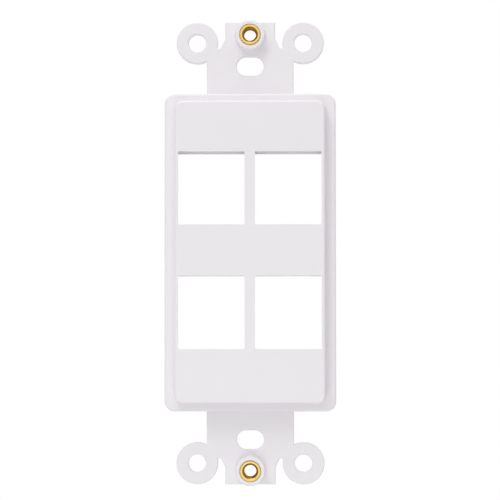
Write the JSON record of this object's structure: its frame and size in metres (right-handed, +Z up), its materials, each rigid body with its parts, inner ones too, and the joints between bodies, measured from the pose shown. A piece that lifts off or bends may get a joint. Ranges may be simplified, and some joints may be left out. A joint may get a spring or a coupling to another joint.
{
  "type": "keystone faceplate",
  "caption": "White moulded keystone insert for a rectangular wallplate opening: raised face with snap-in jack ports, flange, strap with ears and slots, threaded brass inserts.",
  "frame": {"origin": "centre of the mounting strap, on the plane of the wall that the strap lies against", "axes": "+X across the plate to the right seen from the front, +Y back into the wall, +Z up along the strap; the face looks along -Y"},
  "size_m": [0.0382, 0.0098, 0.1036],
  "materials": {
    "white_plastic": "moulded ABS, semi-gloss with a very fine texture",
    "brass": "machined, knurled, bright"
  },
  "bodies": {
    "root": {"faceplate": "white_plastic", "upper_insert": "brass", "lower_insert": "brass"}
  },
  "joints": []
}
